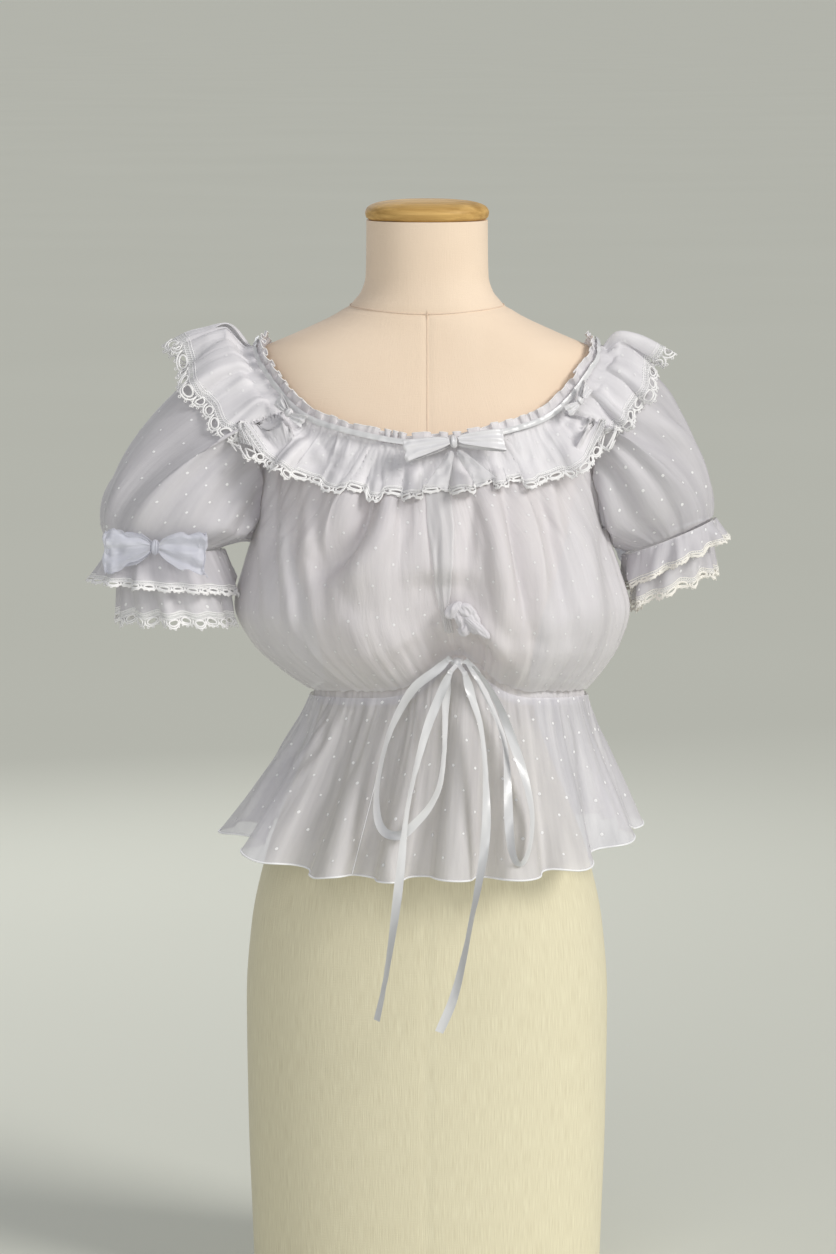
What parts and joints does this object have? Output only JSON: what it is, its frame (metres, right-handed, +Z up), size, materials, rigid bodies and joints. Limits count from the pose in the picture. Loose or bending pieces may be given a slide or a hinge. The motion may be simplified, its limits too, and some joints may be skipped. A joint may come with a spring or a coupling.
{
  "type": "peasant blouse on a dress form",
  "caption": "Sheer dotted peasant blouse with a lace-edged ruffled neck, puff sleeves with frilled cuffs, a tied waist and a fluted peplum, on a limbless dress form.",
  "frame": {"origin": "centre of the dress form's flat underside", "axes": "+Z up the form, the blouse's front faces -Y, +X to the viewer's right from the front"},
  "size_m": [0.6147, 0.3481, 1.044],
  "materials": {
    "dotted_organza": "sheer woven organza with small flocked dots",
    "bow_organza": "crisp translucent ribbon",
    "lace_edging": "scalloped lace",
    "satin_ribbon": "satin",
    "form_cover": "stretched linen",
    "cap_wood": "satin varnish"
  },
  "bodies": {
    "root": {"bodice_back": "dotted_organza", "bodice_front": "dotted_organza", "cuff_band_left": "dotted_organza", "cuff_band_right": "dotted_organza", "cuff_lower_lace_left": "lace_edging", "cuff_lower_lace_right": "lace_edging", "cuff_lower_left": "dotted_organza", "cuff_lower_right": "dotted_organza", "cuff_upper_lace_left": "lace_edging", "cuff_upper_lace_right": "lace_edging", "cuff_upper_left": "dotted_organza", "cuff_upper_right": "dotted_organza", "form_body": "form_cover", "front_channel": "dotted_organza", "front_knot": "dotted_organza", "neck_bow_knot": "bow_organza", "neck_bow_loop_left": "bow_organza", "neck_bow_loop_right": "bow_organza", "neck_bow_tail_left": "bow_organza", "neck_bow_tail_right": "bow_organza", "neck_cap": "cap_wood", "neck_heading": "dotted_organza", "neck_lace_back": "lace_edging", "neck_lace_front": "lace_edging", "neck_ribbon": "satin_ribbon", "neck_ruffle_back": "dotted_organza", "neck_ruffle_front": "dotted_organza", "peplum_back": "dotted_organza", "peplum_front": "dotted_organza", "side_bow_left_knot": "satin_ribbon", "side_bow_left_loop_left": "satin_ribbon", "side_bow_left_loop_right": "satin_ribbon", "side_bow_right_knot": "satin_ribbon", "side_bow_right_loop_left": "satin_ribbon", "side_bow_right_loop_right": "satin_ribbon", "sleeve_bow_left_knot": "bow_organza", "sleeve_bow_left_loop_left": "bow_organza", "sleeve_bow_left_loop_right": "bow_organza", "sleeve_bow_right_knot": "bow_organza", "sleeve_bow_right_loop_left": "bow_organza", "sleeve_bow_right_loop_right": "bow_organza", "sleeve_left": "dotted_organza", "sleeve_right": "dotted_organza", "waist_casing": "dotted_organza", "waist_knot": "satin_ribbon", "waist_loop_left": "satin_ribbon", "waist_loop_right": "satin_ribbon", "waist_tail_left": "satin_ribbon", "waist_tail_right": "satin_ribbon"}
  },
  "joints": []
}
